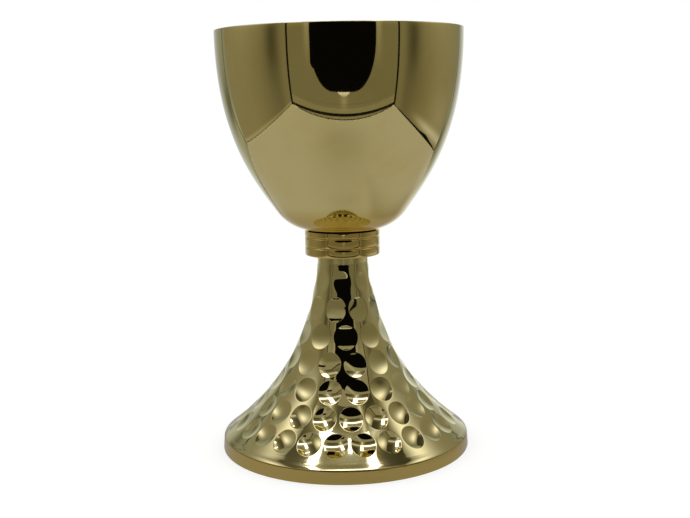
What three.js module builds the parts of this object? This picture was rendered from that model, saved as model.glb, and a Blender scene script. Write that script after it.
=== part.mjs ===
// Chalice in millimetres, +Z up, standing on z = 0 with its axis on Z and its front towards -Y.
import * as THREE from 'three';

// Heights, added up from the foot's underside to the cup's rim.
const footHeight = 80;
const collarHeight = 10;
const cupHeight = 80;
const collarBottom = footHeight;
const cupBottom = collarBottom + collarHeight;

// Cup: a flat pad, a rounded bottom that ends at a slope in degrees, and one curve up to the upright rim.
const rimRadius = 49.4;
const padRadius = 10.1;
const bottomRounding = 21.4;
const bottomSlope = 54.5;
const bottomPull = 11.3;
const rimPull = 43;
const cupWall = 1.2;
const rimBreak = 0.3;
const bottomSteps = 4;
const sideSteps = 7;
const cupSides = 48;

// Collar: a solid ring with two grooves.
const collarRadius = 15.4;
const collarEdgeBreak = 0.5;
const grooveHeights = [3.2, 7.2];
const grooveWidth = 1.4;
const grooveDepth = 0.6;
const collarSides = 40;

// Foot: an upright band, and a flare that ends as the stem under the collar.
const bandRadius = 51.2;
const bandTaper = 0.4;
const bandTopRadius = bandRadius - bandTaper;
const bandHeight = 5.2;
const bandEdgeBreak = 0.4;
const stemRadius = 10.05;
const flarePull = { radius: 25.5, height: 24.9 };
const stemPull = { radius: 13.5, height: 46.3 };
const footWall = 2.2;
const footRingWidth = 3;
const hollowTopWall = 6;
const hollowSteps = 8;
const hollowSides = 40;
const bandSides = 60;
const stemSides = 36;
const stemSteps = 4;

// Dimples: rows of shallow round scoops, from the brim up to the stem.
// Each row's turn is the angle from the front to one of its dimples, in degrees.
const firstRowDistance = 10.9;
const rowPitch = 11.15;
const dimpleRows = [
  { count: 25, turn: -5.2 },
  { count: 21, turn: 3.6 },
  { count: 16, turn: 9.9 },
  { count: 13, turn: 11.4 },
  { count: 10, turn: 2.4 },
  { count: 9, turn: -13.4 },
];
const dimpleLength = 10.2;
const dimpleShareOfPitch = 0.9;
const dimpleDepth = 0.8;
const dimpleDepthLossPerRow = 0.035;
const dimpleCorners = 12;
const dimpleInnerCorners = 6;
const dimpleInnerReach = 0.6;
const fewestRowSides = 36;

const wholeTurn = 2 * Math.PI;
const front = -Math.PI / 2;

// A skin grows from loops of corners. A loop's corners are in order of `around`, from 0 to 1.
class Skin {
  positions = [];
  triangles = [];

  corner(radius, angle, height) {
    this.positions.push(radius * Math.cos(angle), radius * Math.sin(angle), height);
    return this.positions.length / 3 - 1;
  }

  ring(radius, height, sides) {
    const loop = [];
    for (let side = 0; side < sides; side++) {
      const around = side / sides;
      loop.push({ corner: this.corner(radius, front + around * wholeTurn, height), around });
    }
    return loop;
  }

  // Closes the strip between two loops, which may have different numbers of corners.
  // The strip faces out where the walk from one to the other has the solid on its left.
  stitch(from, to) {
    const at = (loop, step) => loop[step % loop.length].corner;
    const middle = (loop, step) => {
      const turns = Math.floor((step + 1) / loop.length);
      return (loop[step % loop.length].around + loop[(step + 1) % loop.length].around + turns) / 2;
    };
    let i = 0;
    let j = 0;
    while (i < from.length || j < to.length) {
      const stepFrom = j >= to.length || (i < from.length && middle(from, i) <= middle(to, j));
      if (stepFrom) {
        this.triangles.push(at(from, i), at(from, i + 1), at(to, j));
        i++;
      } else {
        this.triangles.push(at(from, i), at(to, j + 1), at(to, j));
        j++;
      }
    }
  }

  fanFrom(corner, loop) {
    loop.forEach((point, step) => {
      this.triangles.push(corner, loop[(step + 1) % loop.length].corner, point.corner);
    });
  }

  fanTo(loop, corner) {
    loop.forEach((point, step) => {
      this.triangles.push(point.corner, loop[(step + 1) % loop.length].corner, corner);
    });
  }

  geometry() {
    const geometry = new THREE.BufferGeometry();
    geometry.setAttribute('position', new THREE.Float32BufferAttribute(this.positions, 3));
    geometry.setIndex(this.triangles);
    return geometry;
  }
}

// A solid from an outline of { radius, height } points turned about Z.
// The axis closes both ends of the outline, and the solid is on the outline's left.
function turned(bottom, outline, top, sides) {
  const skin = new Skin();
  const loops = outline.map((point) => skin.ring(point.radius, point.height, sides));
  skin.fanFrom(skin.corner(0, 0, bottom), loops[0]);
  for (let step = 1; step < loops.length; step++) {
    skin.stitch(loops[step - 1], loops[step]);
  }
  skin.fanTo(loops[loops.length - 1], skin.corner(0, 0, top));
  return skin.geometry();
}

// The cup's outside as curves of (radius, height): its rounded bottom, then its side up to the rim.
function cupCurves() {
  const slope = THREE.MathUtils.degToRad(bottomSlope);
  const rim = new THREE.Vector2(rimRadius, cupBottom + cupHeight);
  const bottom = new THREE.EllipseCurve(
    padRadius,
    cupBottom + bottomRounding,
    bottomRounding,
    bottomRounding,
    -Math.PI / 2,
    -Math.PI / 2 + slope,
  );
  const join = bottom.getPoint(1);
  const side = new THREE.CubicBezierCurve(
    join,
    new THREE.Vector2(Math.cos(slope), Math.sin(slope)).multiplyScalar(bottomPull).add(join),
    new THREE.Vector2(rim.x, rim.y - rimPull),
    rim,
  );
  return { bottom, side };
}

// Points along the cup's wall, sunk by depth square to its outside.
function cupWallPoints(depth) {
  const { bottom, side } = cupCurves();
  const points = [];
  const follow = (curve, steps) => {
    for (let step = 0; step < steps; step++) {
      const point = curve.getPointAt(step / steps);
      const along = curve.getTangentAt(step / steps);
      points.push({ radius: point.x - along.y * depth, height: point.y + along.x * depth });
    }
  };
  follow(bottom, bottomSteps);
  follow(side, sideSteps);
  return points;
}

function cup() {
  const rim = cupBottom + cupHeight;
  const outline = [
    ...cupWallPoints(0),
    { radius: rimRadius, height: rim - rimBreak },
    { radius: rimRadius - rimBreak, height: rim },
    { radius: rimRadius - cupWall + rimBreak, height: rim },
    { radius: rimRadius - cupWall, height: rim - rimBreak },
    ...cupWallPoints(cupWall).reverse(),
  ];
  return turned(cupBottom, outline, cupBottom + cupWall, cupSides);
}

function collar() {
  const top = collarBottom + collarHeight;
  const outline = [
    { radius: collarRadius - collarEdgeBreak, height: collarBottom },
    { radius: collarRadius, height: collarBottom + collarEdgeBreak },
  ];
  for (const grooveHeight of grooveHeights) {
    const middle = collarBottom + grooveHeight;
    const grooveRadius = collarRadius - grooveDepth;
    outline.push({ radius: collarRadius, height: middle - grooveWidth / 2 });
    outline.push({ radius: grooveRadius, height: middle - grooveWidth / 4 });
    outline.push({ radius: grooveRadius, height: middle + grooveWidth / 4 });
    outline.push({ radius: collarRadius, height: middle + grooveWidth / 2 });
  }
  outline.push({ radius: collarRadius, height: top - collarEdgeBreak });
  outline.push({ radius: collarRadius - collarEdgeBreak, height: top });
  return turned(collarBottom, outline, top, collarSides);
}

// The foot's flare, measured by distance along it from the band's top edge.
const flare = new THREE.CubicBezierCurve(
  new THREE.Vector2(bandTopRadius, bandHeight),
  new THREE.Vector2(flarePull.radius, flarePull.height),
  new THREE.Vector2(stemPull.radius, stemPull.height),
  new THREE.Vector2(stemRadius, footHeight),
);
const flareLength = flare.getLength();

// A point on the flare, sunk by depth square to the surface.
function onFlare(distance, depth) {
  const share = THREE.MathUtils.clamp(distance / flareLength, 0, 1);
  const point = flare.getPointAt(share);
  const along = flare.getTangentAt(share);
  return { radius: point.x - along.y * depth, height: point.y + along.x * depth };
}

// One row of dimples: a belt of cells side by side, each with a dimple in its middle.
// Gives the belt's lower and upper loops, for the strips between the rows.
function dimpleBelt(skin, distance, count, turnDegrees, depth) {
  const pitch = wholeTurn / count;
  const dimpleWidth = pitch * onFlare(distance, 0).radius * dimpleShareOfPitch;
  const halfBelt = (dimpleLength + rowPitch) / 4;
  const sidesPerCell = Math.ceil(fewestRowSides / count);
  const firstEdge = THREE.MathUtils.degToRad(turnDegrees) + pitch / 2;
  const start = firstEdge - Math.floor(firstEdge / pitch) * pitch;

  const edgeLoop = (along, steps) => {
    const spot = onFlare(along, 0);
    const loop = [];
    for (let step = 0; step < count * steps; step++) {
      const angle = start + (pitch * step) / steps;
      loop.push({ corner: skin.corner(spot.radius, front + angle, spot.height), around: angle / wholeTurn });
    }
    return loop;
  };
  const lower = edgeLoop(distance - halfBelt, sidesPerCell);
  const upper = edgeLoop(distance + halfBelt, sidesPerCell);
  const sides = edgeLoop(distance, 1);

  for (let cell = 0; cell < count; cell++) {
    const middle = start + pitch * (cell + 0.5);
    const dimpleLoop = (reach, corners) => {
      const loop = [];
      for (let corner = 0; corner < corners; corner++) {
        const around = corner / corners;
        const along = distance + (dimpleLength / 2) * reach * Math.sin(around * wholeTurn);
        const spot = onFlare(along, depth * (1 - reach ** 2));
        const across = (dimpleWidth / 2) * reach * Math.cos(around * wholeTurn);
        const angle = front + middle + across / onFlare(along, 0).radius;
        loop.push({ corner: skin.corner(spot.radius, angle, spot.height), around });
      }
      return loop;
    };
    const border = [{ corner: sides[(cell + 1) % count].corner, around: 0 }];
    for (let step = sidesPerCell; step >= 0; step--) {
      const angle = Math.atan2(halfBelt, dimpleWidth * (step / sidesPerCell - 0.5));
      const index = (cell * sidesPerCell + step) % upper.length;
      border.push({ corner: upper[index].corner, around: angle / wholeTurn });
    }
    border.push({ corner: sides[cell].corner, around: 0.5 });
    for (let step = 0; step <= sidesPerCell; step++) {
      const angle = wholeTurn + Math.atan2(-halfBelt, dimpleWidth * (step / sidesPerCell - 0.5));
      const index = (cell * sidesPerCell + step) % lower.length;
      border.push({ corner: lower[index].corner, around: angle / wholeTurn });
    }
    const rim = dimpleLoop(1, dimpleCorners);
    const inner = dimpleLoop(dimpleInnerReach, dimpleInnerCorners);
    const deepest = onFlare(distance, depth);
    skin.stitch(border, rim);
    skin.stitch(rim, inner);
    skin.fanTo(inner, skin.corner(deepest.radius, front + middle, deepest.height));
  }
  return { lower, upper };
}

function foot() {
  const skin = new Skin();
  const ringInside = bandRadius - footRingWidth;
  const hollowTop = footHeight - hollowTopWall;
  const hollow = [];
  for (let step = hollowSteps; step > 0; step--) {
    const inside = onFlare((flareLength * step) / hollowSteps, footWall);
    if (inside.height < hollowTop - footWall) {
      hollow.push(inside);
    }
  }
  hollow.unshift({ radius: hollow[0].radius * 0.7, height: hollowTop });
  hollow.push({ radius: ringInside, height: bandHeight - bandEdgeBreak });
  hollow.push({ radius: ringInside, height: 0 });
  const band = [
    { radius: bandRadius - bandEdgeBreak, height: 0 },
    { radius: bandRadius, height: bandEdgeBreak },
    { radius: bandTopRadius, height: bandHeight - bandEdgeBreak },
    onFlare(bandEdgeBreak, 0),
    onFlare(firstRowDistance / 4, 0),
  ];
  const loops = [
    ...hollow.map((point) => skin.ring(point.radius, point.height, hollowSides)),
    ...band.map((point) => skin.ring(point.radius, point.height, bandSides)),
  ];
  skin.fanFrom(skin.corner(0, 0, hollowTop), loops[0]);
  for (let step = 1; step < loops.length; step++) {
    skin.stitch(loops[step - 1], loops[step]);
  }
  let below = loops[loops.length - 1];
  dimpleRows.forEach((row, index) => {
    const distance = firstRowDistance + rowPitch * index;
    const depth = dimpleDepth - dimpleDepthLossPerRow * index;
    const belt = dimpleBelt(skin, distance, row.count, row.turn, depth);
    skin.stitch(below, belt.lower);
    below = belt.upper;
  });
  const stemStart = firstRowDistance + rowPitch * (dimpleRows.length - 1) + dimpleLength / 2;
  for (let step = 1; step <= stemSteps; step++) {
    const spot = onFlare(stemStart + ((flareLength - stemStart) * step) / stemSteps, 0);
    const loop = skin.ring(spot.radius, spot.height, stemSides);
    skin.stitch(below, loop);
    below = loop;
  }
  skin.fanTo(below, skin.corner(0, 0, footHeight));
  return skin.geometry();
}

function polishedGold(colour, roughness) {
  return new THREE.MeshStandardMaterial({ color: colour, roughness: roughness, metalness: 1 });
}

function piece(name, geometry, material) {
  const mesh = new THREE.Mesh(geometry, material);
  mesh.name = name;
  return mesh;
}

const chalice = new THREE.Group();
chalice.name = 'chalice';
chalice.add(piece('cup', cup(), polishedGold(0xc9b26b, 0.08)));
chalice.add(piece('collar', collar(), polishedGold(0xc4aa5e, 0.12)));
chalice.add(piece('foot', foot(), polishedGold(0xc6ae66, 0.1)));

export default chalice;
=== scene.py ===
"""A polished gold chalice: a plain cup, a grooved collar and a dimpled foot, in a white light tent."""

import math

import bpy
import numpy as np
from mathutils import Matrix, Vector


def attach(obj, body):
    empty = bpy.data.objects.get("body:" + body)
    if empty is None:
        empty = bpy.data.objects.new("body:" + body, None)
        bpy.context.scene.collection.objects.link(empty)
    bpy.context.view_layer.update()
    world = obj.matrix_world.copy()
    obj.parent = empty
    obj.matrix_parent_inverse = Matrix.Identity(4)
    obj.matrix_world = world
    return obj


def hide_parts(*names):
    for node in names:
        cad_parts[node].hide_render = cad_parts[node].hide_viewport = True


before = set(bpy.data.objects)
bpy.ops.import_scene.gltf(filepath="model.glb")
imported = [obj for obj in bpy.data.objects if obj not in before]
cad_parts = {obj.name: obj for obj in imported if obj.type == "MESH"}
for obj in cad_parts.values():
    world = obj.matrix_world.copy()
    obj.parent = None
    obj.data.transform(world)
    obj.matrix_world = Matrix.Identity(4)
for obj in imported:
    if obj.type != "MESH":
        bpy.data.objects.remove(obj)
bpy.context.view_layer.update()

MM = 0.001
FRONT = -math.pi / 2
# Angles in radians and places that differ by less than this are taken as the same.
SAME = 1e-6

# Sizes in millimetres: the solid's, with finer breaks and roundings that only the scene has.
FOOT_HEIGHT = 80
COLLAR_HEIGHT = 10
CUP_HEIGHT = 80
COLLAR_BOTTOM = FOOT_HEIGHT
CUP_BOTTOM = COLLAR_BOTTOM + COLLAR_HEIGHT
RIM_HEIGHT = CUP_BOTTOM + CUP_HEIGHT

RIM_RADIUS = 49.4
RIM_BREAK = 0.35
RIM_LIP_HEIGHT = 2
CUP_WALL = 1.2
# The side of the cup is a little rounder than the solid's, within a fraction of a millimetre.
PAD_RADIUS = 11
BOTTOM_ROUNDING = 18.9
BOTTOM_SLOPE = math.radians(53.9)
BOTTOM_PULL = 19.9
RIM_PULL = 38.5

COLLAR_RADIUS = 15.4
COLLAR_EDGE_BREAK = 0.5
# How far the top edge of the collar rounds off: down its side, and inwards.
COLLAR_SHOULDER = (0.15, 0.12)
GROOVE_HEIGHTS = (3.2, 7.2)
GROOVE_WIDTH = 1.4
GROOVE_DEPTH = 0.6
GROOVE_EDGE_BREAK = 0.2
# How much of a groove's width and depth its softly rounded lower side takes.
GROOVE_SOFT_SHARE = 0.75

BAND_RADIUS = 51.2
BAND_TAPER = 0.4
BAND_TOP_RADIUS = BAND_RADIUS - BAND_TAPER
BAND_HEIGHT = 5.2
BAND_EDGE_BREAK = 0.4
BAND_FOOT_BREAK = 0.3
# The brim swells a little just above the band: where along the flare, how far out, and its end.
BRIM_ROLL = 1.2
BRIM_ROLL_OUT = 0.09
BRIM_ROLL_ROUNDING = 0.75
BRIM_ROLL_END = 2.8
# The turning marks reach up to this height.
BRIM_TOP = 9.5
STEM_RADIUS = 10.05
FLARE_PULL = (25.5, 24.9)
STEM_PULL = (13.5, 46.3)

FOOT_WALL = 2.2
FOOT_RING_WIDTH = 3
HOLLOW_TOP_WALL = 6
HOLLOW_TOP_ROUNDING = 3
HOLLOW_SIDE_ROUNDING = 0.8
HOLLOW_EDGE_BREAK = 0.2
# The hollow's side meets the ring's inside at this height, and its own rings stop this far short.
HOLLOW_SIDE_END = BAND_HEIGHT - 1
HOLLOW_SIDE_GAP = 0.5
# Where the band's own stretch starts on the underside of the ring.
BAND_START_INSET = 1

FIRST_ROW_DISTANCE = 10.9
ROW_PITCH = 11.15
# Each row: how many dimples, and the angle from the front to one of them in degrees.
DIMPLE_ROWS = ((25, -5.2), (21, 3.6), (16, 9.9), (13, 11.4), (10, 2.4), (9, -13.4))
DIMPLE_LENGTH = 10.2
BELT_HEIGHT = 10.72
# What a dimple takes of its cell: of the row's pitch, and of the belt's height.
DIMPLE_SHARES = (0.9, DIMPLE_LENGTH / BELT_HEIGHT)
DIMPLE_DEPTH = 0.8
DIMPLE_DEPTH_LOSS = 0.035
DIMPLE_LIP = 0.08
# The faint dents round the stem, and the short upright stretch above them.
STEM_DENTS = 8
STEM_DENT_TURN = -4
STEM_DENT_DISTANCE = 77.8
STEM_DENT_BELT = 10.4
STEM_DENT_DEPTH = 0.42
STEM_DENT_SHARES = (0.78, 0.78)
STEM_DENT_LIP = 0.55
STEM_TOP_RADIUS = 10.38
STEM_TOP_LENGTH = 4

# Gaps left between two stretches of the foot, which stitching closes.
BRIM_GAP = 0.4
STEM_GAP = 0.3
STEM_TOP_GAP = 0.5

# Rings on the flat ends, as shares of their radius.
PAD_RINGS = (0.3, 0.7)
COLLAR_END_RING = 0.5
STEM_END_RING = 0.9
HOLLOW_TOP_RING = 0.5
# The hollow's rings follow the flare from its top down to this share of its length.
HOLLOW_LAST_SHARE = 0.02

# Fineness: how many sides, rings or steps each stretch has.
CUP_SIDES = 256
COLLAR_SIDES = 192
STEM_SIDES = 144
CUP_RINGS = 160
HOLLOW_RINGS = 70
BRIM_RINGS = 6
STEM_RINGS = 5
STEM_TOP_RINGS = 6
DIMPLE_RINGS = 10
DIMPLE_LIP_RINGS = 6
CELL_SIDE_STEPS = 10
CELL_STEPS = 4 * CELL_SIDE_STEPS
BOTTOM_STEPS = 400
CURVE_STEPS = 4000
CORNER_STEPS = 5
HOLLOW_TOP_STEPS = 8
FLARE_CURVE_POINTS = 800


# Outlines: lists of (radius, height) in millimetres.


def arc_corner(before, corner, after, reach, steps=CORNER_STEPS):
    """Rounds one corner of an outline. The reach is one length, or one before and one after it."""
    before, corner, after = np.array(before), np.array(corner), np.array(after)
    start_reach, end_reach = reach if isinstance(reach, tuple) else (reach, reach)
    start = corner + (before - corner) / np.linalg.norm(before - corner) * start_reach
    end = corner + (after - corner) / np.linalg.norm(after - corner) * end_reach
    share = np.linspace(0, 1, steps + 1)[:, None]
    curve = (1 - share) ** 2 * start + 2 * (1 - share) * share * corner + share**2 * end
    return [tuple(point) for point in curve]


def rounded(outline):
    """An outline of (radius, height, rounding) corners with each rounding drawn out."""
    points = []
    for index, (radius, height, rounding) in enumerate(outline):
        if rounding:
            before, after = outline[index - 1][:2], outline[index + 1][:2]
            points += arc_corner(before, (radius, height), after, rounding)
        else:
            points.append((radius, height))
    return points


class Line:
    """A dense outline of (radius, height) points, read by the distance along it."""

    def __init__(self, points):
        self.points = np.array(points, float)
        steps = np.diff(self.points, axis=0)
        self.distances = np.concatenate([[0], np.cumsum(np.hypot(*steps.T))])
        along = np.gradient(self.points, axis=0)
        self.along = along / np.linalg.norm(along, axis=1)[:, None]
        self.length = self.distances[-1]

    def at(self, distance, depth=0):
        """The (radius, height) at this distance, sunk by depth square to the surface."""
        radius, height = (np.interp(distance, self.distances, part) for part in self.points.T)
        across, up = (np.interp(distance, self.distances, part) for part in self.along.T)
        return radius - up * depth, height + across * depth


def pulled_curve(start, start_pull, end_pull, end):
    """A curve from start to end that leaves towards one pull and arrives from the other."""
    start, start_pull, end_pull, end = (np.array(point) for point in (start, start_pull, end_pull, end))
    share = np.linspace(0, 1, CURVE_STEPS + 1)[:, None]
    rest = 1 - share
    curve = rest**3 * start + 3 * rest**2 * share * start_pull
    return curve + 3 * rest * share**2 * end_pull + share**3 * end


FLARE = Line(
    pulled_curve((BAND_TOP_RADIUS, BAND_HEIGHT), FLARE_PULL, STEM_PULL, (STEM_RADIUS, FOOT_HEIGHT))
)


def cup_side():
    """The cup's outside: its rounded bottom from the pad, then one curve up to the rim."""
    turns = np.linspace(0, BOTTOM_SLOPE, BOTTOM_STEPS)
    turned = np.stack([np.sin(turns), 1 - np.cos(turns)], axis=1) * BOTTOM_ROUNDING
    bottom = turned + (PAD_RADIUS, CUP_BOTTOM)
    slope = np.array((math.cos(BOTTOM_SLOPE), math.sin(BOTTOM_SLOPE)))
    start_pull = bottom[-1] + slope * BOTTOM_PULL
    end_pull = (RIM_RADIUS, RIM_HEIGHT - RIM_PULL)
    side = pulled_curve(bottom[-1], start_pull, end_pull, (RIM_RADIUS, RIM_HEIGHT))
    return Line([*bottom, *side[1:]])


def cup_outline():
    """From the pad up the outside, over the lip and down the inside to the cup's floor."""
    line = cup_side()
    inner = RIM_RADIUS - CUP_WALL
    lip = rounded(
        [
            (RIM_RADIUS, RIM_HEIGHT - RIM_LIP_HEIGHT, 0),
            (RIM_RADIUS, RIM_HEIGHT, RIM_BREAK),
            (inner, RIM_HEIGHT, RIM_BREAK),
            (inner, RIM_HEIGHT - RIM_LIP_HEIGHT, 0),
        ]
    )
    distances = np.linspace(0, line.length - RIM_LIP_HEIGHT, CUP_RINGS)
    outside = [line.at(distance) for distance in distances]
    inside = [line.at(distance, CUP_WALL) for distance in distances[::-1]]
    pad = [(PAD_RADIUS * share, CUP_BOTTOM) for share in PAD_RINGS]
    floor = [(PAD_RADIUS * share, CUP_BOTTOM + CUP_WALL) for share in PAD_RINGS[::-1]]
    return pad + outside + lip[1:-1] + inside + floor


def collar_outline():
    top = COLLAR_BOTTOM + COLLAR_HEIGHT
    end_ring = COLLAR_RADIUS * COLLAR_END_RING
    corners = [(end_ring, COLLAR_BOTTOM, 0), (COLLAR_RADIUS, COLLAR_BOTTOM, COLLAR_EDGE_BREAK)]
    for groove in GROOVE_HEIGHTS:
        # Each groove rounds in softly from below and ends in a crisp edge above.
        bottom = COLLAR_BOTTOM + groove - GROOVE_WIDTH / 2
        soft = (GROOVE_WIDTH * GROOVE_SOFT_SHARE, GROOVE_DEPTH * GROOVE_SOFT_SHARE)
        crisp = GROOVE_EDGE_BREAK / 2
        deepest = bottom + soft[0]
        corners.append((COLLAR_RADIUS, deepest, soft))
        corners.append((COLLAR_RADIUS - GROOVE_DEPTH, deepest + crisp, crisp))
        corners.append((COLLAR_RADIUS, bottom + GROOVE_WIDTH, GROOVE_EDGE_BREAK))
    corners.append((COLLAR_RADIUS, top, COLLAR_SHOULDER))
    corners.append((end_ring, top, 0))
    return rounded(corners)


def hollow_outline():
    """The foot's smooth inside, from under the stem down to the ring it stands on."""
    ring_inside = BAND_RADIUS - FOOT_RING_WIDTH
    top = FOOT_HEIGHT - HOLLOW_TOP_WALL
    distances = np.linspace(1, HOLLOW_LAST_SHARE, HOLLOW_RINGS) * FLARE.length
    side = [FLARE.at(distance, FOOT_WALL) for distance in distances]
    side = [point for point in side if point[1] < top - HOLLOW_TOP_ROUNDING]
    side = [point for point in side if point[0] < ring_inside - HOLLOW_SIDE_GAP]
    corner = (side[0][0], top)
    crown = arc_corner((0, top), corner, side[0], HOLLOW_TOP_ROUNDING, HOLLOW_TOP_STEPS)
    ring = rounded(
        [
            (*side[-1], 0),
            (ring_inside, HOLLOW_SIDE_END, HOLLOW_SIDE_ROUNDING),
            (ring_inside, 0, HOLLOW_EDGE_BREAK),
            (BAND_RADIUS, 0, 0),
        ]
    )
    return [(crown[0][0] * HOLLOW_TOP_RING, top)] + crown[:-1] + side + ring[1:-1]


def band_outline():
    """The upright band and its rounded top edge, up to the end of the brim's swelling."""
    return rounded(
        [
            (BAND_RADIUS - BAND_START_INSET, 0, 0),
            (BAND_RADIUS, 0, BAND_FOOT_BREAK),
            (BAND_TOP_RADIUS, BAND_HEIGHT, BAND_EDGE_BREAK),
            (*FLARE.at(BRIM_ROLL, -BRIM_ROLL_OUT), BRIM_ROLL_ROUNDING),
            (*FLARE.at(BRIM_ROLL_END), 0),
        ]
    )


def brim_outline():
    """The plain brim, up to the first row of dimples."""
    start = BRIM_ROLL_END + BRIM_GAP
    end = FIRST_ROW_DISTANCE - BELT_HEIGHT / 2 - BRIM_GAP
    return [FLARE.at(distance) for distance in np.linspace(start, end, BRIM_RINGS)]


def stem_outline():
    """The stem above its dents: the end of the flare, the upright stretch and the flat top."""
    start = STEM_DENT_DISTANCE + STEM_DENT_BELT / 2 + STEM_GAP
    stem = np.linspace(start, FLARE.length - STEM_TOP_LENGTH, STEM_RINGS)
    upright_start = FOOT_HEIGHT - STEM_TOP_LENGTH + STEM_TOP_GAP
    upright = np.linspace(upright_start, FOOT_HEIGHT, STEM_TOP_RINGS)
    outline = [FLARE.at(distance) for distance in stem]
    outline += [(STEM_TOP_RADIUS, height) for height in upright]
    return outline + [(STEM_RADIUS * STEM_END_RING, FOOT_HEIGHT)]


# Skins: meshes grown from loops of corners.


class Skin:
    """Corners and faces of one closed mesh. A loop is a list of (corner, angle), in order of angle."""

    def __init__(self):
        self.corners = []
        self.faces = []

    def corner(self, radius, angle, height):
        self.corners.append(
            (radius * MM * math.cos(angle), radius * MM * math.sin(angle), height * MM)
        )
        return len(self.corners) - 1

    def ring(self, radius, height, sides):
        angles = [2 * math.pi * side / sides for side in range(sides)]
        return [(self.corner(radius, FRONT + angle, height), angle) for angle in angles]

    def stitch(self, lower, upper):
        """Closes the strip between two loops, which may have different numbers of corners."""

        def middle(loop, step):
            turns = (step + 1) // len(loop) * 2 * math.pi
            return (loop[step % len(loop)][1] + loop[(step + 1) % len(loop)][1] + turns) / 2

        if len(lower) == len(upper) and abs(lower[0][1] - upper[0][1]) < SAME:
            for step in range(len(lower)):
                after = (step + 1) % len(lower)
                self.faces.append((lower[step][0], lower[after][0], upper[after][0], upper[step][0]))
            return
        i = j = 0
        while i < len(lower) or j < len(upper):
            from_lower = j >= len(upper) or (i < len(lower) and middle(lower, i) <= middle(upper, j))
            here, there = lower[i % len(lower)][0], upper[j % len(upper)][0]
            if from_lower:
                i += 1
                self.faces.append((here, lower[i % len(lower)][0], there))
            else:
                j += 1
                self.faces.append((here, upper[j % len(upper)][0], there))

    def walk(self, outline, sides):
        """Rings along an outline, each stitched to the one before it. Gives the first and last."""
        loops = [self.ring(radius, height, sides) for radius, height in outline]
        for before, after in zip(loops, loops[1:]):
            self.stitch(before, after)
        return loops[0], loops[-1]

    def close_end(self, loop, height):
        """Closes the last loop with a fan of faces round a point on the axis."""
        tip = self.corner(0, 0, height)
        for (here, _), (there, _) in zip(loop, loop[1:] + loop[:1]):
            self.faces.append((here, there, tip))

    def close_start(self, loop, height):
        """Closes the first loop. Its fan runs the other way round, so it faces outwards too."""
        self.close_end(loop[::-1], height)

    def add_row(self, below, mesh):
        """Takes in a row of dimples, stitched to the loop below it. Gives the row's upper loop."""
        first = len(self.corners)
        self.corners += [tuple(vertex.co) for vertex in mesh.vertices]
        self.faces += [tuple(first + corner for corner in face.vertices) for face in mesh.polygons]
        self.stitch(below, belt_loop(mesh, first, -1))
        return belt_loop(mesh, first, 1)

    def made_object(self, name, material):
        mesh = bpy.data.meshes.new(name)
        mesh.from_pydata(self.corners, [], self.faces)
        mesh.materials.append(material)
        mesh.shade_smooth()
        made = bpy.data.objects.new(name, mesh)
        bpy.context.scene.collection.objects.link(made)
        return made


# Node trees, written as plain arithmetic.


class Field:
    """A node socket that can be added, subtracted, multiplied and divided like a number."""

    def __init__(self, tree, socket):
        self.tree = tree
        self.socket = socket

    def math(self, operation, *others):
        """A Math node that starts with this socket."""
        return field(self.tree, "ShaderNodeMath", 0, {"operation": operation}, (self, *others))

    def math_after(self, operation, first):
        """A Math node that ends with this socket."""
        return field(self.tree, "ShaderNodeMath", 0, {"operation": operation}, (first, self))

    def __add__(self, other):
        return self.math("ADD", other)

    def __radd__(self, other):
        return self.math_after("ADD", other)

    def __sub__(self, other):
        return self.math("SUBTRACT", other)

    def __rsub__(self, other):
        return self.math_after("SUBTRACT", other)

    def __mul__(self, other):
        return self.math("MULTIPLY", other)

    def __rmul__(self, other):
        return self.math_after("MULTIPLY", other)

    def __truediv__(self, other):
        return self.math("DIVIDE", other)

    def __rtruediv__(self, other):
        return self.math_after("DIVIDE", other)

    def near(self, middle, reach):
        """1 at the middle, fading away on both sides of it over this reach."""
        off = (self - middle) / reach
        return (off * off * -1).math("EXPONENT")

    def between(self, start, end):
        """0 on the start's side, 1 on the end's side, and a smooth step from one to the other."""
        settings = {"interpolation_type": "SMOOTHSTEP"}
        return field(self.tree, "ShaderNodeMapRange", 0, settings, (self, start, end, 0, 1))


def add_node(tree, kind, settings=(), values=()):
    """A new node with its settings made first, then its inputs set or linked, by order or by name."""
    node = tree.nodes.new(kind)
    for name, value in dict(settings).items():
        setattr(node, name, value)
    pairs = values.items() if isinstance(values, dict) else enumerate(values)
    for key, value in pairs:
        if isinstance(value, Field):
            tree.links.new(value.socket, node.inputs[key])
        else:
            node.inputs[key].default_value = value
    return node


def field(tree, kind, output, settings=(), values=()):
    """One output of a new node."""
    return Field(tree, add_node(tree, kind, settings, values).outputs[output])


def vector(tree, x, y, z):
    return field(tree, "ShaderNodeCombineXYZ", 0, values=(x, y, z))


def parts(tree, whole):
    """The three parts of a vector."""
    node = add_node(tree, "ShaderNodeSeparateXYZ", values=(whole,))
    return [Field(tree, output) for output in node.outputs]


# Dimples: one flat cell, repeated round the foot and wrapped onto its flare by a node tree.


def dimple_depth(reach, lip):
    """How deep the dimple is, from 1 in its middle to 0 past its rounded lip."""
    inside = 1 - reach**2
    if inside > lip:
        return inside
    if inside < -lip:
        return 0
    return (inside + lip) ** 2 / (4 * lip)


def cell_edge():
    """The corners round the edge of a flat cell, from its lower right."""
    edge = []
    for side in range(4):
        for step in range(CELL_SIDE_STEPS):
            corner = Vector((0.5, step / CELL_SIDE_STEPS - 0.5, 0))
            corner.rotate(Matrix.Rotation(side * math.pi / 2, 3, "Z"))
            edge.append(corner)
    return edge


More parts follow.
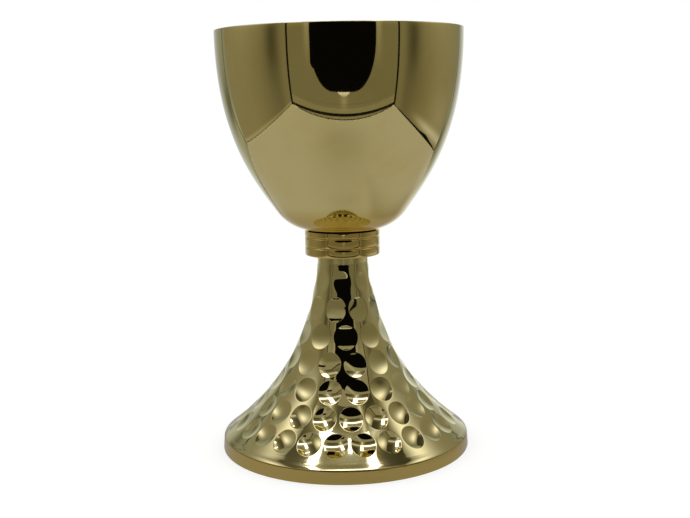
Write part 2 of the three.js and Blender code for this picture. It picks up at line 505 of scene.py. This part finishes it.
def cell_rings(shares, lip):
    """Rings of corners from near the middle of a dimple, over its lip and out to the cell's edge."""
    half_width, half_length = shares[0] / 2, shares[1] / 2
    lip_start, lip_end = math.sqrt(1 - lip), math.sqrt(1 + lip)
    bowl = np.linspace(0, lip_start, DIMPLE_RINGS + 1)[1:]
    round_lip = np.linspace(lip_start, lip_end, DIMPLE_LIP_RINGS + 1)[1:]
    angles = [2 * math.pi * step / CELL_STEPS - math.pi / 4 for step in range(CELL_STEPS)]
    rings = []
    for reach in (*bowl, *round_lip):
        width, length = half_width * reach, half_length * reach
        depth = dimple_depth(reach, lip)
        ring = [Vector((width * math.cos(angle), length * math.sin(angle), depth)) for angle in angles]
        rings.append(ring)
    edge = cell_edge()
    halfway = [place.lerp(corner, 0.5) for place, corner in zip(rings[-1], edge)]
    return rings + [halfway, edge]


def add_attribute(mesh, name, values):
    mesh.attributes.new(name, "FLOAT", "POINT").data.foreach_set("value", values)


def dimple_cell(shares, lip):
    """One dimple in a flat cell, with X, Y and Z as shares of its pitch, belt height and depth."""
    rings = cell_rings(shares, lip)
    places = [Vector((0, 0, 1))] + [place for ring in rings for place in ring]
    steps = [(step, (step + 1) % CELL_STEPS) for step in range(CELL_STEPS)]
    faces = [(0, 1 + here, 1 + there) for here, there in steps]
    for index in range(1, len(rings)):
        outer = 1 + index * CELL_STEPS
        inner = outer - CELL_STEPS
        faces += [(inner + here, outer + here, outer + there, inner + there) for here, there in steps]
    mesh = bpy.data.meshes.new("dimple_cell")
    mesh.from_pydata([tuple(place) for place in places], [], faces)

    # A dimple holds its width, the halfway ring holds half of it and the edge gives way.
    dimple_holds = [1.0] * (len(places) - 2 * CELL_STEPS)
    add_attribute(mesh, "hold", dimple_holds + [0.5] * CELL_STEPS + [0.0] * CELL_STEPS)
    # The level is -1 along the cell's lower edge, 1 along its upper edge and 0 elsewhere.
    levels = [0.0] * (len(places) - CELL_STEPS)
    for place in rings[-1]:
        is_level = abs(abs(place.y) - 0.5) < SAME
        levels.append(math.copysign(1, place.y) if is_level else 0.0)
    add_attribute(mesh, "level", levels)
    return mesh


ROW_INPUTS = {
    "Count": "NodeSocketInt",
    "Turn": "NodeSocketFloat",
    "Distance": "NodeSocketFloat",
    "Belt Height": "NodeSocketFloat",
    "Depth": "NodeSocketFloat",
    "Material": "NodeSocketMaterial",
}


def dimple_row_tree():
    """Copies the cell side by side, then wraps the strip round the foot onto its flare."""
    tree = bpy.data.node_groups.new("dimple_row", "GeometryNodeTree")
    tree.is_modifier = True
    tree.interface.new_socket("Geometry", in_out="INPUT", socket_type="NodeSocketGeometry")
    for name, kind in ROW_INPUTS.items():
        tree.interface.new_socket(name, in_out="INPUT", socket_type=kind)
    tree.interface.new_socket("Geometry", in_out="OUTPUT", socket_type="NodeSocketGeometry")
    source = tree.nodes.new("NodeGroupInput")
    given = {name: Field(tree, source.outputs[name]) for name in ("Geometry", *ROW_INPUTS)}

    spot = vector(tree, field(tree, "GeometryNodeInputIndex", 0), 0, 0)
    points = field(tree, "GeometryNodePoints", 0, values=(given["Count"], spot))
    copying = {"Points": points, "Instance": given["Geometry"]}
    copies = field(tree, "GeometryNodeInstanceOnPoints", 0, values=copying)
    strip = field(tree, "GeometryNodeRealizeInstances", 0, values=(copies,))

    x, y, z = parts(tree, field(tree, "GeometryNodeInputPosition", 0))
    named = {"Name": "hold"}
    hold = field(tree, "GeometryNodeInputNamedAttribute", "Attribute", {"data_type": "FLOAT"}, named)
    ends = {
        "Resolution": FLARE_CURVE_POINTS,
        "Start": (BAND_TOP_RADIUS * MM, 0, BAND_HEIGHT * MM),
        "Start Handle": (FLARE_PULL[0] * MM, 0, FLARE_PULL[1] * MM),
        "End Handle": (STEM_PULL[0] * MM, 0, STEM_PULL[1] * MM),
        "End": (STEM_RADIUS * MM, 0, FOOT_HEIGHT * MM),
    }
    line = field(tree, "GeometryNodeCurvePrimitiveBezierSegment", 0, {"mode": "POSITION"}, ends)

    def on_line(distance):
        """The radius and height at this distance along the flare, and the way that it runs there."""
        reading = {"Curves": line, "Length": distance}
        sample = add_node(tree, "GeometryNodeSampleCurve", {"mode": "LENGTH"}, reading)
        radius, _, height = parts(tree, Field(tree, sample.outputs["Position"]))
        across, _, up = parts(tree, Field(tree, sample.outputs["Tangent"]))
        return radius, height, across, up

    radius, height, across, up = on_line(given["Distance"] + y * given["Belt Height"])
    middle_radius = on_line(given["Distance"])[0]
    sink = z * given["Depth"]
    # Inside a dimple the width stays true, though the foot narrows upwards.
    own_x = x - x.math("ROUND")
    true_x = x + hold * own_x * (middle_radius / radius - 1)
    angle = given["Turn"] + true_x * (2 * math.pi) / given["Count"] + FRONT
    sunk_radius = radius - up * sink
    sunk_x, sunk_y = sunk_radius * angle.math("COSINE"), sunk_radius * angle.math("SINE")
    moving = {"Geometry": strip, "Position": vector(tree, sunk_x, sunk_y, height + across * sink)}
    wrapped = field(tree, "GeometryNodeSetPosition", 0, values=moving)
    merging = {"Geometry": wrapped, "Distance": SAME}
    joined = field(tree, "GeometryNodeMergeByDistance", 0, values=merging)
    realized = field(tree, "GeometryNodeRealizeInstances", 0, values=(joined,))
    finishing = {"Geometry": realized, "Material": given["Material"]}
    finished = field(tree, "GeometryNodeSetMaterial", 0, values=finishing)
    result = tree.nodes.new("NodeGroupOutput")
    tree.links.new(finished.socket, result.inputs["Geometry"])
    return tree


def dimple_row(tree, cell, material, distance, count, turn_degrees, depth, belt_height):
    """One row of dimples as a plain mesh, made by the node tree."""
    carrier = bpy.data.objects.new("dimple_row", cell)
    bpy.context.scene.collection.objects.link(carrier)
    modifier = carrier.modifiers.new("dimple_row", "NODES")
    modifier.node_group = tree
    values = {
        "Count": count,
        "Turn": math.radians(turn_degrees),
        "Distance": distance * MM,
        "Belt Height": belt_height * MM,
        "Depth": depth * MM,
        "Material": material,
    }
    for socket in tree.interface.items_tree:
        if socket.in_out == "INPUT" and socket.name in values:
            modifier[socket.identifier] = values[socket.name]
    evaluated = carrier.evaluated_get(bpy.context.evaluated_depsgraph_get())
    mesh = bpy.data.meshes.new_from_object(evaluated)
    bpy.data.objects.remove(carrier)
    return mesh


def belt_loop(mesh, first, level):
    """The loop of corners along a row's lower (-1) or upper (1) edge, in order of angle."""
    levels = np.zeros(len(mesh.vertices))
    mesh.attributes["level"].data.foreach_get("value", levels)
    loop = []
    for index in np.flatnonzero(np.round(levels, 2) == level):
        place = mesh.vertices[int(index)].co
        angle = (math.atan2(place.y, place.x) - FRONT) % (2 * math.pi)
        loop.append((first + int(index), angle))
    return sorted(loop, key=lambda corner: corner[1])


# Pieces.


def make_turned(name, outline, sides, material):
    """A piece turned round the axis. Its outline starts and ends on flats, which are closed."""
    skin = Skin()
    start, end = skin.walk(outline, sides)
    skin.close_start(start, outline[0][1])
    skin.close_end(end, outline[-1][1])
    return skin.made_object(name, material)


def make_foot(material):
    """The foot, from its hollow round the band and up over the brim, the dimples and the stem."""
    skin = Skin()
    hollow_start, hollow_end = skin.walk(hollow_outline(), STEM_SIDES)
    skin.close_start(hollow_start, FOOT_HEIGHT - HOLLOW_TOP_WALL)
    band_sides = DIMPLE_ROWS[0][0] * CELL_SIDE_STEPS
    band_start, band_end = skin.walk(band_outline(), band_sides)
    skin.stitch(hollow_end, band_start)
    brim_start, below = skin.walk(brim_outline(), band_sides)
    skin.stitch(band_end, brim_start)

    tree = dimple_row_tree()
    cell = dimple_cell(DIMPLE_SHARES, DIMPLE_LIP)
    for row, (count, turn) in enumerate(DIMPLE_ROWS):
        distance = FIRST_ROW_DISTANCE + ROW_PITCH * row
        depth = DIMPLE_DEPTH - DIMPLE_DEPTH_LOSS * row
        mesh = dimple_row(tree, cell, material, distance, count, turn, depth, BELT_HEIGHT)
        below = skin.add_row(below, mesh)
    dents = dimple_row(
        tree,
        dimple_cell(STEM_DENT_SHARES, STEM_DENT_LIP),
        material,
        distance=STEM_DENT_DISTANCE,
        count=STEM_DENTS,
        turn_degrees=STEM_DENT_TURN,
        depth=STEM_DENT_DEPTH,
        belt_height=STEM_DENT_BELT,
    )
    below = skin.add_row(below, dents)

    stem_start, stem_end = skin.walk(stem_outline(), STEM_SIDES)
    skin.stitch(below, stem_start)
    skin.close_end(stem_end, FOOT_HEIGHT)
    return skin.made_object("dimpled_foot", material)


# Materials, with their places and heights in metres.

CUP_GOLD = (0.93, 0.785, 0.31)
COLLAR_GOLD = (0.88, 0.68, 0.22)
FOOT_GOLD = (0.915, 0.8, 0.35)
CUP_ROUGHNESS = 0.035
COLLAR_ROUGHNESS = 0.05
FOOT_ROUGHNESS = 0.03
# Painted shade low on the cup and on the foot: the darker colour, up to which height, and the fade
# above it.
# The cup's darker bottom is painted shade where it hangs over the collar and the foot.
CUP_PAINTED_SHADE = ((0.74, 0.55, 0.15), 0.094, 0.009)
# The band's darker colour is painted shade, standing in for the shaded floor just in front of it.
BAND_PAINTED_SHADE = ((0.69, 0.52, 0.15), BAND_HEIGHT * MM, 0.0004)

# Faint clouding: its scale, the noise that shows, what it leaves of the colour and its roughness.
CLOUD_SCALE = 45
CLOUD_RANGE = (0.4, 0.75)
CLOUD_TONE = (0.95, 0.92, 0.84)
CLOUD_ROUGHNESS = 0.02
# Turning marks: how fine they are from ring to ring and how slowly they change round the axis.
TURNING_FINENESS = 2400
TURNING_CHANGE = 2
TURNING_RELIEF = 0.06
BRIM_RELIEF = 6
BRIM_ROUGHNESS = 0.12
# The brim's marks start to fade at this share of their height.
BRIM_FADE_SHARE = 0.75
BUMP_STRENGTH = 0.35
BUMP_DISTANCE = 0.00002

# Colours of light: the tent's cloth looks warm where it is dim and cool where it is bright.
WHITE = (1, 1, 1, 1)
WARM_LIGHT = (1, 0.94, 0.76, 1)
COOL_LIGHT = (1, 1, 1.18, 1)
BACK_DIM_LIGHT = (0.96, 1.02, 1, 1)
BACK_BRIGHT_LIGHT = (0.96, 1.03, 1.2, 1)
LAMP_LIGHT = (1, 1, 1.5, 1)
# The brightness at which the cloth's light starts to turn cool, and at which it is cool.
COOL_RANGE = (0.15, 0.45)


def mixed(tree, share, first, second):
    """A colour that goes from the first to the second as the share goes from 0 to 1."""
    # The colours are a Mix node's inputs 6 and 7, and its output 2.
    mixing = {0: share, 6: first, 7: second}
    return field(tree, "ShaderNodeMix", 2, {"data_type": "RGBA"}, mixing)


def noise(tree, place, scale, detail, roughness):
    values = {"Vector": place, "Scale": scale, "Detail": detail, "Roughness": roughness}
    return field(tree, "ShaderNodeTexNoise", 0, values=values)


def polished_gold(name, colour, base_roughness, painted_low_shade=None, brim_height=0):
    """Polished gold with faint clouding, a painted shade low down and turning marks up to brim_height.
    """
    material = bpy.data.materials.new(name)
    material.use_nodes = True
    tree = material.node_tree
    shader = tree.nodes["Principled BSDF"]
    place = field(tree, "ShaderNodeTexCoord", "Object")
    x, y, z = parts(tree, place)
    radius = (x * x + y * y).math("SQRT")

    clouds = noise(tree, place, CLOUD_SCALE, detail=4, roughness=0.6)
    clouded = [part * tone for part, tone in zip(colour, CLOUD_TONE)]
    tint = mixed(tree, clouds.between(*CLOUD_RANGE), (*colour, 1), (*clouded, 1))
    # Painted shade: a darker colour low down on the piece.
    if painted_low_shade:
        tone, height, fade = painted_low_shade
        low_down = 1 - z.between(height, height + fade)
        tint = mixed(tree, low_down, tint, (*tone, 1))

    round_x, round_y = x / radius * TURNING_CHANGE, y / radius * TURNING_CHANGE
    ring_place = vector(tree, round_x, round_y, (z + radius) * TURNING_FINENESS)
    turning = noise(tree, ring_place, scale=1, detail=2, roughness=0.5)
    roughness = (clouds - 0.5) * CLOUD_ROUGHNESS + base_roughness
    relief = turning * TURNING_RELIEF
    if brim_height:
        brim_marks = turning * (1 - z.between(brim_height * BRIM_FADE_SHARE, brim_height))
        roughness = roughness + brim_marks * BRIM_ROUGHNESS
        relief = relief + brim_marks * BRIM_RELIEF
    bumping = {"Strength": BUMP_STRENGTH, "Distance": BUMP_DISTANCE, "Height": relief}
    bump = field(tree, "ShaderNodeBump", 0, values=bumping)

    tree.links.new(tint.socket, shader.inputs["Base Color"])
    tree.links.new(roughness.socket, shader.inputs["Roughness"])
    tree.links.new(bump.socket, shader.inputs["Normal"])
    shader.inputs["Metallic"].default_value = 1
    return material


def glow(name, brightness, dim_light=WARM_LIGHT, bright_light=COOL_LIGHT):
    """A glowing surface of the tent. Brightness is a number, or a function of the place in metres."""
    material = bpy.data.materials.new(name)
    material.use_nodes = True
    tree = material.node_tree
    tree.nodes.clear()
    if callable(brightness):
        amount = brightness(*parts(tree, field(tree, "ShaderNodeTexCoord", "Object")))
        colour = mixed(tree, amount.between(*COOL_RANGE), dim_light, bright_light)
        scaling = {0: colour, "Scale": amount}
        colour = field(tree, "ShaderNodeVectorMath", 0, {"operation": "SCALE"}, scaling)
        light = field(tree, "ShaderNodeEmission", 0, values={"Color": colour})
    else:
        plain = {"Color": bright_light, "Strength": brightness}
        light = field(tree, "ShaderNodeEmission", 0, values=plain)
    add_node(tree, "ShaderNodeOutputMaterial", values=(light,))
    return material


# The tent: sizes and places in metres, from its own middle. Brightness is 1 for full white.

TENT_MIDDLE = Vector((-0.003, -0.033, 0))
TENT_TURN = math.radians(4)
TENT_HALF_WIDTH = 0.3
TENT_HALF_DEPTH = 0.237
TENT_HEIGHT = 0.45
TENT_ACROSS = (-TENT_HALF_WIDTH, TENT_HALF_WIDTH)
TENT_ALONG = (-TENT_HALF_DEPTH, TENT_HALF_DEPTH)
# A card that lies on a wall or on the floor stands off it by this much.
CARD_GAP = 0.001

OPENING_HALF_WIDTH = 0.137
OPENING_BOTTOM = 0.070
OPENING_TOP = 0.347
OPENING_ROUNDING = 0.095
OPENING_CORNER_STEPS = 12
# A dark flap at the opening's top left, its sagging lower left corner and a bright lip under it.
FLAP_WIDTH = 0.05
FLAP_HEIGHTS = (0.29, 0.345)
SAGGING_CORNER = ((-0.136, 0.18), (-0.137, 0.12), (-0.13, 0.114), (-0.11, 0.106), (-0.10, 0.12))
OPENING_LIP_BOTTOM = OPENING_BOTTOM - 0.014
OPENING_LIP_OUTLINE = (
    (-0.024, OPENING_BOTTOM),
    (0.028, OPENING_BOTTOM),
    (0.004, OPENING_LIP_BOTTOM),
)

# The seams in the corners. The one on the back wall is (from the middle, height) places.
SEAM_WIDTH = 0.006
FRONT_SEAM_WIDTH = 0.011
BACK_SEAM = ((0.291, 0), (0.266, 0.046), (0.245, 0.088), (0.254, 0.125), (0.257, TENT_HEIGHT))

# Creases along the floor, and a strap along the front wall that is highest in its middle.
RIGHT_CREASE_WIDTH = 0.005
LEFT_CREASE_WIDTH = 0.003
FRONT_CREASE_HEIGHT = 0.0032
FRONT_CREASE_ENDS = (-TENT_HALF_WIDTH + 0.05, TENT_HALF_WIDTH - 0.02)
STRAP_MIDDLE_HEIGHT = 0.015
STRAP_END_DROP = 0.01
STRAP_HALF_WIDTH = 0.0042
STRAP_SHARES = np.linspace(-0.99, 0.99, 21)
HEM_HEIGHTS = {"low": 0.033, "high": 0.042}
HEM_HALF_LENGTH = 0.18
HEM_WIDTH = 0.0012
# A fold of cloth at the foot of the right wall, as (along the wall, height) places.
FOLD_OUTLINE = (
    (-0.2, 0),
    (0.2, 0),
    (0.19, 0.003),
    (0.12, 0.005),
    (0.06, 0.009),
    (0, 0.005),
    (-0.2, 0.003),
)

LAMP_LEFT = -0.156
LAMP_RIGHT = 0.122
LAMP_FRONT = -0.12
LAMP_BACK = 0.13
LAMP_SIDE_END = 0.01
LAMP_HALF_WIDTH = 0.025
FRONT_LAMP_HALF_WIDTH = LAMP_HALF_WIDTH * 0.7
BACK_LAMP_HALF_WIDTH = LAMP_HALF_WIDTH * 0.6
# How fast the roof's light fades away from the lamps, for each metre.
HALO_FADE = 45
LAMP_EDGE = 0.03

# The brightness of each surface, before any soft patches of light and shade.
LAMP_BRIGHTNESS = 2.6
OPENING_BRIGHTNESS = 0.002
SEAM_BRIGHTNESS = 0.004
CREASE_BRIGHTNESS = 0.05
HEM_BRIGHTNESS = 0.12
OPENING_LIP_BRIGHTNESS = 0.18
FLOOR_BRIGHTNESS = 0.375
SIDE_BRIGHTNESS = 0.12
BACK_BRIGHTNESS = 0.2
FRONT_BRIGHTNESS = 0.16
ROOF_BRIGHTNESS = 0.06


def patch(across, up, middle, reach, strength):
    """A soft round patch of light, or of shade where its strength is below 0."""
    return across.near(middle[0], reach[0]) * up.near(middle[1], reach[1]) * strength


def floor_light(x, y, z):
    """A pale mat with soft shades in front of the foot, near it and running to the back right."""
    in_front = patch(x, y, middle=(0, -0.145), reach=(0.09, 0.085), strength=-0.075)
    near_foot = patch(x, y, middle=(0.005, -0.026), reach=(0.035, 0.016), strength=-0.03)
    # The streak of shade passes this place and runs this way.
    start_x, start_y = 0.073, 0.006
    way_x, way_y = 0.49, 0.87
    beside_streak = (x - start_x) * way_y - (y - start_y) * way_x
    streak = beside_streak.near(0, 0.02) * x.between(0.05, 0.08) * -0.07
    bright_back = y.between(0.12, 0.22) * x.near(0.06, 0.14) * 0.32
    return in_front + streak + near_foot + bright_back + FLOOR_BRIGHTNESS


def side_light(x, y, z):
    """A wall that the lamp lights brightly near the top and that is dim at the front."""
    on_left, on_right = x.between(0, -0.1), x.between(0, 0.1)
    towards_back = y.between(-0.2, 0.08) * 0.1
    front_edge = y.between(-0.15, -0.21) * 0.05
    shade = patch(y, z, middle=(-0.125, 0.17), reach=(0.04, 0.07), strength=-0.08)
    lit_by_lamp = patch(y, z, middle=(0.03, 0.335), reach=(0.11, 0.068), strength=0.85)
    wide = patch(y, z, middle=(0.02, 0.28), reach=(0.16, 0.09), strength=0.12)
    right_low = on_right * patch(y, z, middle=(0.12, 0.06), reach=(0.08, 0.04), strength=0.05)
    right_fold = on_right * y.between(-0.12, 0.05) * z.near(0.02, 0.01) * 0.22
    left_hem = on_left * z.near(0.007, 0.004) * 0.1
    dim_part = towards_back + front_edge + SIDE_BRIGHTNESS
    return dim_part + shade + lit_by_lamp + wide + right_low + right_fold + left_hem


def back_light(x, y, z):
    """A wall that is brightest a little right of its middle, with soft light and shade low down."""
    bright_middle = x.near(0.045, 0.145) * 0.8
    brighter_left = x * -0.15
    pale_foot = z.near(0.05, 0.04) * 0.08
    dark_foot = z.between(0.032, 0.012) * x.near(-0.11, 0.05) * -0.2
    low_left = patch(x, z, middle=(-0.21, 0.1), reach=(0.045, 0.035), strength=-0.16)
    low_right = x.between(0.09, 0.2) * z.near(0.04, 0.03) * -0.14
    low_part = pale_foot + dark_foot + low_left + low_right
    return bright_middle + brighter_left + low_part + BACK_BRIGHTNESS


def front_light(x, y, z):
    """The wall with the opening is brightest above, beside the opening and below its middle."""
    above = z.between(0.18, 0.26) * 0.1
    beside_opening = x.math("ABSOLUTE").near(0.152, 0.016) * z.between(0.1, 0.2) * 0.105
    under_opening = patch(x, z, middle=(0.003, 0.048), reach=(0.014, 0.016), strength=0.1)
    hem = z.between(0.038, 0.03) * 0.05
    return above + beside_opening + under_opening + hem + FRONT_BRIGHTNESS


def lip_light(x, y, z):
    """The lip of cloth under the opening, which is brighter towards its top."""
    return z.between(OPENING_LIP_BOTTOM, OPENING_BOTTOM) * 0.5 + OPENING_LIP_BRIGHTNESS


def roof_light(x, y, z):
    """The roof is dim and brightens round the lamps, inside their ring and to the left."""
    beside_left = (x - LAMP_LEFT).math("ABSOLUTE")
    beside_right = (x - LAMP_RIGHT).math("ABSOLUTE")
    beside_front = (y - LAMP_FRONT).math("ABSOLUTE")
    beside = beside_left.math("MINIMUM", beside_right).math("MINIMUM", beside_front)
    halo = (beside * -HALO_FADE).math("EXPONENT") * 0.7
    from_left = x.between(LAMP_LEFT, LAMP_LEFT + LAMP_EDGE)
    from_right = x.between(LAMP_RIGHT, LAMP_RIGHT - LAMP_EDGE)
    from_front = y.between(LAMP_FRONT, LAMP_FRONT + LAMP_EDGE)
    inside = from_left * from_right * from_front * 0.12
    brighter_left = x * -0.06
    return halo + inside + brighter_left + ROOF_BRIGHTNESS


def card(name, corners, material, only_mirrored=True):
    """A flat stage card with these corners. A card of the tent shows only in mirror images."""
    mesh = bpy.data.meshes.new(name)
    mesh.from_pydata([tuple(corner) for corner in corners], [], [tuple(range(len(corners)))])
    mesh.materials.append(material)
    made = bpy.data.objects.new(name, mesh)
    bpy.context.scene.collection.objects.link(made)
    if only_mirrored:
        made.matrix_world = Matrix.Translation(TENT_MIDDLE) @ Matrix.Rotation(TENT_TURN, 4, "Z")
        made.visible_camera = False
        made.visible_diffuse = False
        made.visible_shadow = False
        made.visible_transmission = False
    return made


def rectangle(across, heights):
    """The corners of a rectangle, from its two ends each way."""
    (left, right), (low, high) = across, heights
    return [(left, low), (right, low), (right, high), (left, high)]


def level_card(name, across, along, height, material):
    card(name, [(x, y, height) for x, y in rectangle(across, along)], material)


def side_wall_card(name, x, outline, material):
    """A card facing sideways, with an outline of (along the wall, height) places."""
    card(name, [(x, y, z) for y, z in outline], material)


def end_wall_card(name, y, outline, material):
    """A card facing the front or back, with an outline of (across, height) places."""
    card(name, [(x, y, z) for x, z in outline], material)


def opening_outline():
    """The opening, with a quarter of a circle at each corner."""
    reach = OPENING_HALF_WIDTH - OPENING_ROUNDING
    low, high = OPENING_BOTTOM + OPENING_ROUNDING, OPENING_TOP - OPENING_ROUNDING
    outline = []
    for quarter, (x, z) in enumerate(((reach, high), (-reach, high), (-reach, low), (reach, low))):
        for step in range(OPENING_CORNER_STEPS + 1):
            angle = math.radians(90 * (quarter + step / OPENING_CORNER_STEPS))
            place = (x + OPENING_ROUNDING * math.cos(angle), z + OPENING_ROUNDING * math.sin(angle))
            outline.append(place)
    return outline


def build_walls():
    heights = (0, TENT_HEIGHT)
    side_wall, end_wall = rectangle(TENT_ALONG, heights), rectangle(TENT_ACROSS, heights)
    level_card("tent_floor", TENT_ACROSS, TENT_ALONG, -CARD_GAP, glow("tent_floor", floor_light))
    level_card("tent_roof", TENT_ACROSS, TENT_ALONG, TENT_HEIGHT, glow("tent_roof", roof_light))
    side = glow("tent_side", side_light)
    side_wall_card("tent_left", -TENT_HALF_WIDTH, side_wall, side)
    side_wall_card("tent_right", TENT_HALF_WIDTH, side_wall, side)
    back = glow("tent_back", back_light, BACK_DIM_LIGHT, BACK_BRIGHT_LIGHT)
    end_wall_card("tent_back", TENT_HALF_DEPTH, end_wall, back)
    end_wall_card("tent_front", -TENT_HALF_DEPTH, end_wall, glow("tent_front", front_light))


def build_opening():
    dark = glow("tent_opening", OPENING_BRIGHTNESS)
    plane = -TENT_HALF_DEPTH + 2 * CARD_GAP
    end_wall_card("tent_opening", plane, opening_outline(), dark)
    flap = (-OPENING_HALF_WIDTH - FLAP_WIDTH, -OPENING_HALF_WIDTH)
    end_wall_card("opening_flap", plane, rectangle(flap, FLAP_HEIGHTS), dark)
    end_wall_card("opening_corner", plane, SAGGING_CORNER, dark)
    end_wall_card("opening_lip", plane, OPENING_LIP_OUTLINE, glow("opening_lip", lip_light))


def build_seams(dark):
    front, back = -TENT_HALF_DEPTH + CARD_GAP, TENT_HALF_DEPTH - CARD_GAP
    heights = (0, TENT_HEIGHT)
    for side, way in (("left", -1), ("right", 1)):
        edge = way * (TENT_HALF_WIDTH - CARD_GAP)
        front_seam = rectangle((edge, edge - way * FRONT_SEAM_WIDTH), heights)
        end_wall_card(f"seam_front_{side}", front, front_seam, dark)
        side_seam = rectangle((front, front + SEAM_WIDTH), heights)
        side_wall_card(f"seam_side_{side}", edge, side_seam, dark)
        outer = [(way * x, z) for x, z in BACK_SEAM]
        inner = [(way * (x - SEAM_WIDTH), z) for x, z in reversed(BACK_SEAM)]
        end_wall_card(f"seam_back_{side}", back, outer + inner, dark)


def build_creases(dark):
    shade = glow("crease_shade", CREASE_BRIGHTNESS)
    right = (TENT_HALF_WIDTH - RIGHT_CREASE_WIDTH, TENT_HALF_WIDTH)
    left = (-TENT_HALF_WIDTH, -TENT_HALF_WIDTH + LEFT_CREASE_WIDTH)
    level_card("crease_right", right, TENT_ALONG, CARD_GAP, dark)
    level_card("crease_left", left, TENT_ALONG, CARD_GAP, shade)

    front = -TENT_HALF_DEPTH + CARD_GAP
    crease = rectangle(FRONT_CREASE_ENDS, (0, FRONT_CREASE_HEIGHT))
    end_wall_card("crease_front", front, crease, dark)
    strap = [
        (TENT_HALF_WIDTH * share, STRAP_MIDDLE_HEIGHT - STRAP_END_DROP * share**2)
        for share in STRAP_SHARES
    ]
    lower = [(x, z - STRAP_HALF_WIDTH) for x, z in strap]
    upper = [(x, z + STRAP_HALF_WIDTH) for x, z in reversed(strap)]
    end_wall_card("crease_strap", front, lower + upper, dark)
    hem = glow("tent_hem", HEM_BRIGHTNESS)
    for name, height in HEM_HEIGHTS.items():
        line = rectangle((-HEM_HALF_LENGTH, HEM_HALF_LENGTH), (height, height + HEM_WIDTH))
        end_wall_card(f"hem_{name}", front, line, hem)
    side_wall_card("fold_right", TENT_HALF_WIDTH - CARD_GAP, FOLD_OUTLINE, dark)


def build_lamps():
    """A ring of lamps under the roof, open between its sides and its back."""

    def beside(middle, half_width):
        return middle - half_width, middle + half_width

    lamp = glow("tent_lamp", LAMP_BRIGHTNESS, bright_light=LAMP_LIGHT)
    height = TENT_HEIGHT - 2 * CARD_GAP
    along = (LAMP_FRONT - FRONT_LAMP_HALF_WIDTH, LAMP_SIDE_END)
    across = (LAMP_LEFT - LAMP_HALF_WIDTH, LAMP_RIGHT + LAMP_HALF_WIDTH)
    level_card("lamp_left", beside(LAMP_LEFT, LAMP_HALF_WIDTH), along, height, lamp)
    level_card("lamp_right", beside(LAMP_RIGHT, LAMP_HALF_WIDTH), along, height, lamp)
    level_card("lamp_front", across, beside(LAMP_FRONT, FRONT_LAMP_HALF_WIDTH), height, lamp)
    level_card("lamp_back", across, beside(LAMP_BACK, BACK_LAMP_HALF_WIDTH), height, lamp)


# The white ground under the foot, the white surroundings and the camera.

GROUND_REACH = 6
GROUND_GREY = (0.4, 0.4, 0.4, 1)
GROUND_ROUGHNESS = 0.9
GROUND_BRIGHTNESS = 0.66

# The camera stands where the photograph was taken from: its place in metres, angles in radians.
CAMERA_PLACE = (0, -0.4186, 0.1447)
CAMERA_TILT = 0.159
CAMERA_TURN = 0.00222
CAMERA_LEAN = -0.01714
CAMERA_LENS = 53.77
CAMERA_SENSOR = 36
CAMERA_NEAREST = 0.01


def build_ground():
    material = bpy.data.materials.new("floor_white")
    material.use_nodes = True
    shader = material.node_tree.nodes["Principled BSDF"]
    shader.inputs["Base Color"].default_value = GROUND_GREY
    shader.inputs["Roughness"].default_value = GROUND_ROUGHNESS
    shader.inputs["Specular IOR Level"].default_value = 0
    shader.inputs["Emission Color"].default_value = WHITE
    shader.inputs["Emission Strength"].default_value = GROUND_BRIGHTNESS
    ends = (-GROUND_REACH, GROUND_REACH)
    corners = [(x, y, 0) for x, y in rectangle(ends, ends)]
    ground = card("floor", corners, material, only_mirrored=False)
    ground.visible_glossy = False


def build_surroundings():
    world = bpy.data.worlds.new("white_surroundings")
    world.use_nodes = True
    background = world.node_tree.nodes["Background"]
    background.inputs["Color"].default_value = WHITE
    background.inputs["Strength"].default_value = 1
    bpy.context.scene.world = world
    bpy.context.scene.view_settings.view_transform = "Standard"


def build_camera():
    ahead = math.cos(CAMERA_TILT)
    forward = Vector(
        (math.sin(CAMERA_TURN) * ahead, math.cos(CAMERA_TURN) * ahead, -math.sin(CAMERA_TILT))
    )
    level = Vector((math.cos(CAMERA_TURN), -math.sin(CAMERA_TURN), 0))
    above = level.cross(forward)
    right = level * math.cos(CAMERA_LEAN) + above * math.sin(CAMERA_LEAN)
    up = above * math.cos(CAMERA_LEAN) - level * math.sin(CAMERA_LEAN)
    data = bpy.data.cameras.new("camera")
    data.sensor_fit = "HORIZONTAL"
    data.sensor_width = CAMERA_SENSOR
    data.lens = CAMERA_LENS
    data.clip_start = CAMERA_NEAREST
    camera = bpy.data.objects.new("camera", data)
    turned = Matrix((right, up, -forward)).transposed().to_4x4()
    camera.matrix_world = Matrix.Translation(CAMERA_PLACE) @ turned
    bpy.context.scene.collection.objects.link(camera)
    bpy.context.scene.camera = camera


# The chalice in its tent.

cup_gold = polished_gold("cup_gold", CUP_GOLD, CUP_ROUGHNESS, CUP_PAINTED_SHADE)
collar_gold = polished_gold("collar_gold", COLLAR_GOLD, COLLAR_ROUGHNESS)
foot_gold = polished_gold("foot_gold", FOOT_GOLD, FOOT_ROUGHNESS, BAND_PAINTED_SHADE, BRIM_TOP * MM)
cup = make_turned("cup_shell", cup_outline(), CUP_SIDES, cup_gold)
collar = make_turned("grooved_collar", collar_outline(), COLLAR_SIDES, collar_gold)
foot = make_foot(foot_gold)

for piece, node, slot in (
    (cup, "cup", "cup_gold"),
    (collar, "collar", "collar_gold"),
    (foot, "foot", "foot_gold"),
):
    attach(piece, "root")
    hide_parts(node)

seam_dark = glow("tent_seam", SEAM_BRIGHTNESS)
build_walls()
build_opening()
build_seams(seam_dark)
build_creases(seam_dark)
build_lamps()
build_ground()
build_camera()
build_surroundings()
